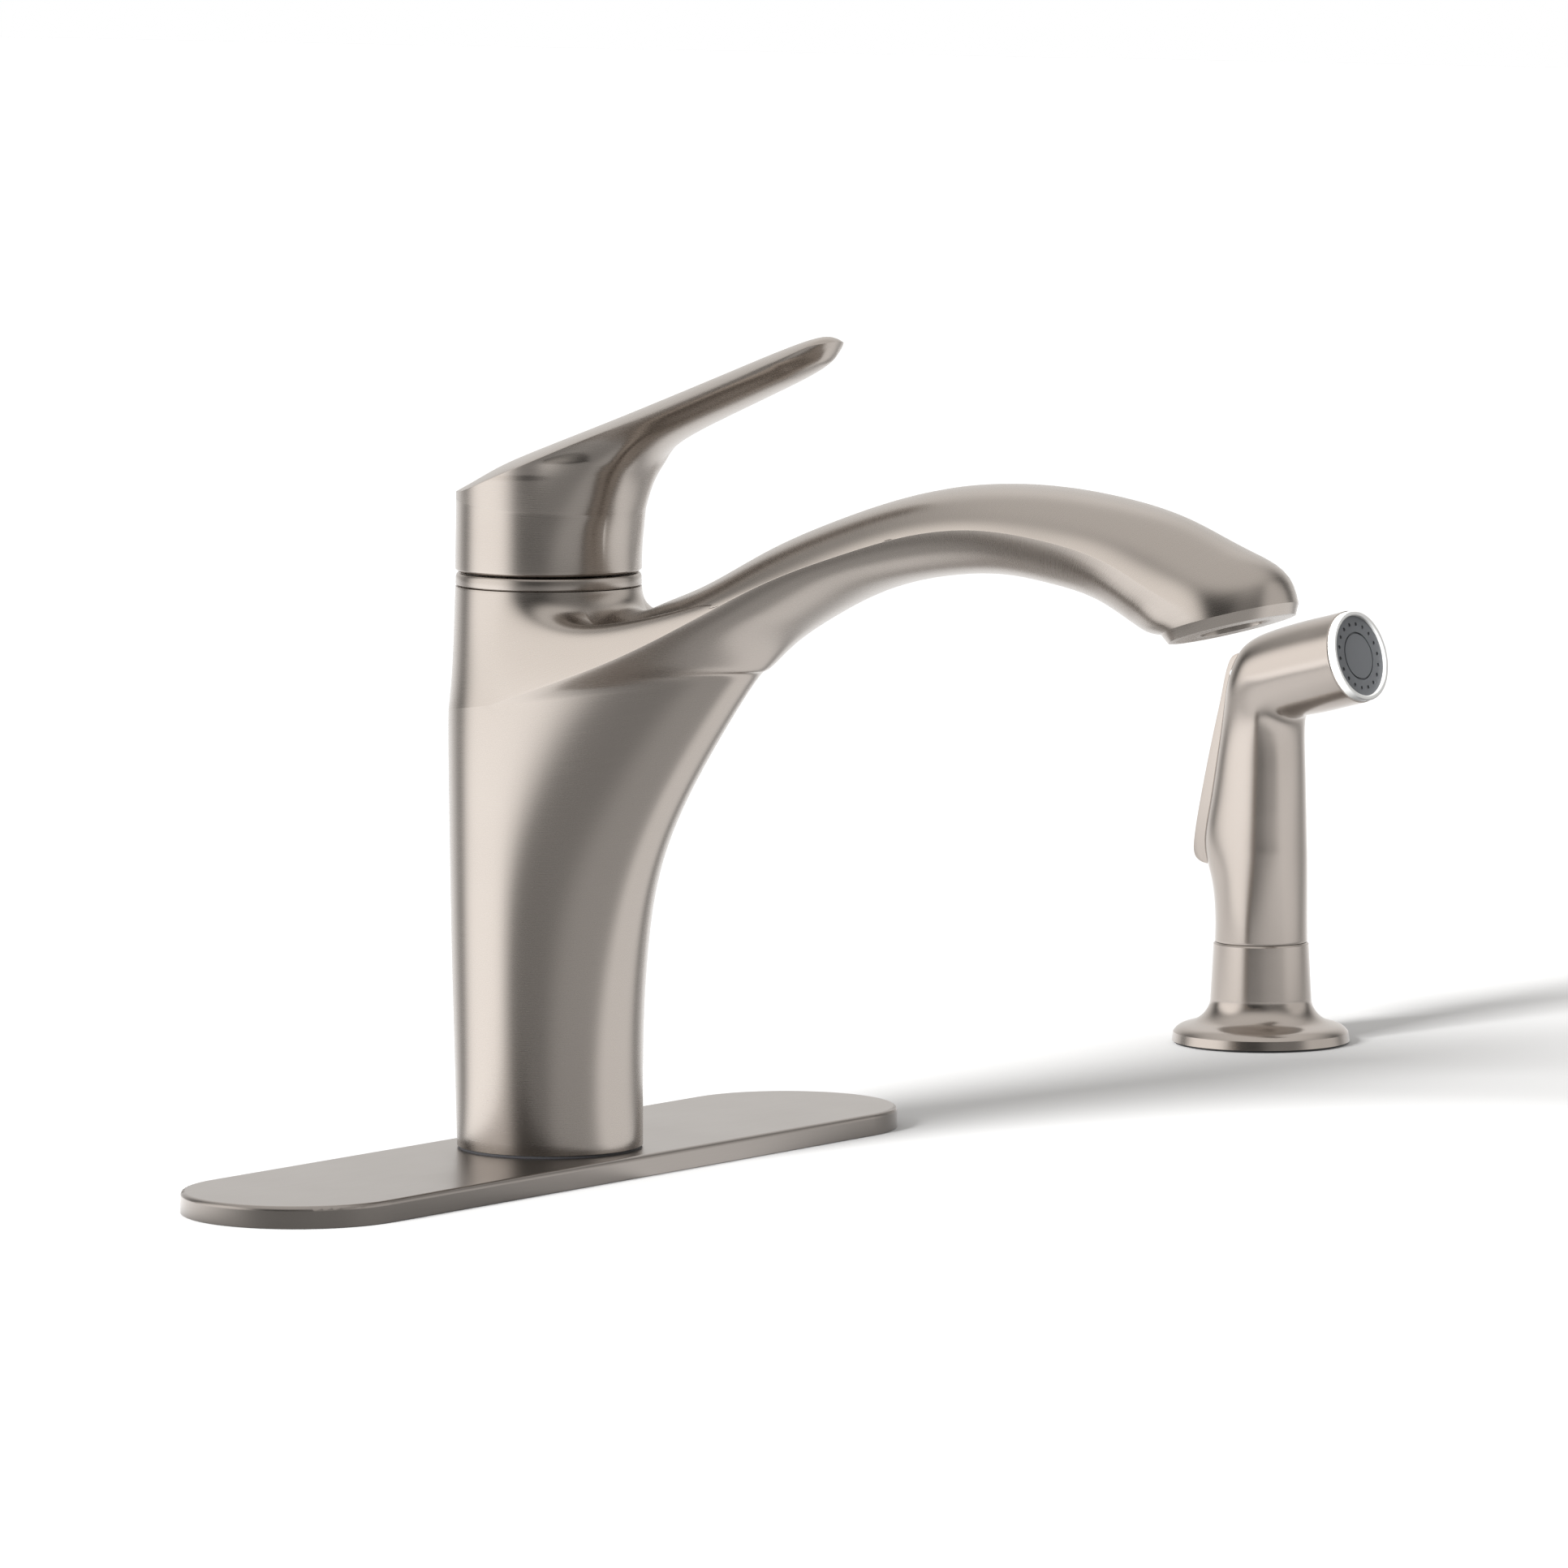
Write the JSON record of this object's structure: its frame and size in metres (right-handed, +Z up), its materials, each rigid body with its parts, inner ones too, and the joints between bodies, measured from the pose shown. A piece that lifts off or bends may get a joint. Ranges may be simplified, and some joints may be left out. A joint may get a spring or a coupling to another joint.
{
  "type": "side spray kitchen faucet",
  "caption": "Single-lever kitchen faucet on a deck plate: swivelling arched spout, side spray handset in its own deck holder.",
  "frame": {"origin": "middle of the faucet body on the sink deck, at the underside of the deck plate", "axes": "+Z up along the body; +X along the deck plate towards the side spray; the spout and the lever point to -Y"},
  "size_m": [0.4784, 0.2603, 0.2922],
  "materials": {
    "brushed_nickel": "satin, finely brushed",
    "plate_nickel": "satin, finely brushed",
    "spray_nickel": "satin nickel plating on plastic",
    "face_ring_white": "smooth",
    "face_grey": "smooth, dull",
    "tray_plastic": "dull",
    "bush_plastic": "dull, smooth",
    "seal_rubber": "dull",
    "brass": "machined",
    "spring_steel": "drawn wire",
    "cartridge_plastic": "dull",
    "pin_steel": "ground",
    "aerator_plastic": "dull",
    "washer_steel": "zinc plated",
    "hose_rubber": "dull"
  },
  "bodies": {
    "base": {"deck_plate": "plate_nickel", "plate_tray": "tray_plastic", "base_ring": "tray_plastic", "valve_body": "brass", "lower_bush": "bush_plastic", "upper_bush": "bush_plastic", "lower_oring": "seal_rubber", "upper_oring": "seal_rubber", "diverter_sleeve": "bush_plastic", "diverter_spring": "spring_steel", "cartridge_seal": "seal_rubber", "cartridge": "cartridge_plastic", "cartridge_nut": "brass", "trim_ring": "brushed_nickel", "mounting_washer": "washer_steel", "mounting_nut": "brass", "cold_inlet": "brass", "hot_inlet": "brass", "spray_outlet": "brass", "spray_gasket": "seal_rubber", "spray_holder": "spray_nickel", "spray_sleeve": "tray_plastic", "spray_washer": "washer_steel", "spray_nut": "tray_plastic"},
    "spout": {"spout_body": "brushed_nickel", "aerator_housing": "aerator_plastic", "aerator_screen": "aerator_plastic", "aerator_washer": "seal_rubber"},
    "carrier": {"lever_carrier": "brass", "lever_pin": "pin_steel"},
    "lever": {"lever_handle": "brushed_nickel"},
    "stem": {"cartridge_stem": "brass"},
    "diverter": {"diverter_piston": "bush_plastic"},
    "handset": {"handset_body": "spray_nickel", "trigger_pin": "pin_steel", "hose_tail": "hose_rubber", "nozzle_ring": "face_ring_white", "spray_face": "face_grey", "face_button": "face_grey"},
    "trigger": {"trigger": "spray_nickel"},
    "plunger": {"valve_plunger": "bush_plastic"}
  },
  "joints": [
    {"name": "spout_swivel", "type": "hinge", "parent": "base", "child": "spout", "pos_m": [0, 0, 0.1], "axis": [0, 0, 1], "range_deg": [-90, 90]},
    {"name": "temperature_turn", "type": "hinge", "parent": "base", "child": "carrier", "pos_m": [0, 0, 0.16], "axis": [0, 0, 1], "range_deg": [-45, 45]},
    {"name": "lever_lift", "type": "hinge", "parent": "carrier", "child": "lever", "pos_m": [0, 0.0176, 0.163], "axis": [-1, 0, 0], "range_deg": [0, 18]},
    {"name": "stem_lift", "type": "slide", "parent": "carrier", "child": "stem", "axis": [0, 0, 1], "range_m": [0, 0.00545]},
    {"name": "diverter_shift", "type": "slide", "parent": "base", "child": "diverter", "axis": [0, 1, 0], "range_m": [0, 0.003], "stiffness_N_per_m": 60},
    {"name": "spray_lift", "type": "slide", "parent": "base", "child": "handset", "axis": [0, 0, 1], "range_m": [0, 0.06]},
    {"name": "trigger_squeeze", "type": "hinge", "parent": "handset", "child": "trigger", "pos_m": [0.323, 0.004, 0.10585], "axis": [-1, 0, 0], "range_deg": [0, 4], "stiffness_Nm_per_rad": 0.4},
    {"name": "plunger_press", "type": "slide", "parent": "handset", "child": "plunger", "axis": [0, -1, 0], "range_m": [0, 0.00236]}
  ],
  "couplings": [
    {"joint": "stem_lift", "follows": "lever_lift", "m_per_rad": 0.0173},
    {"joint": "plunger_press", "follows": "trigger_squeeze", "m_per_rad": 0.032}
  ]
}
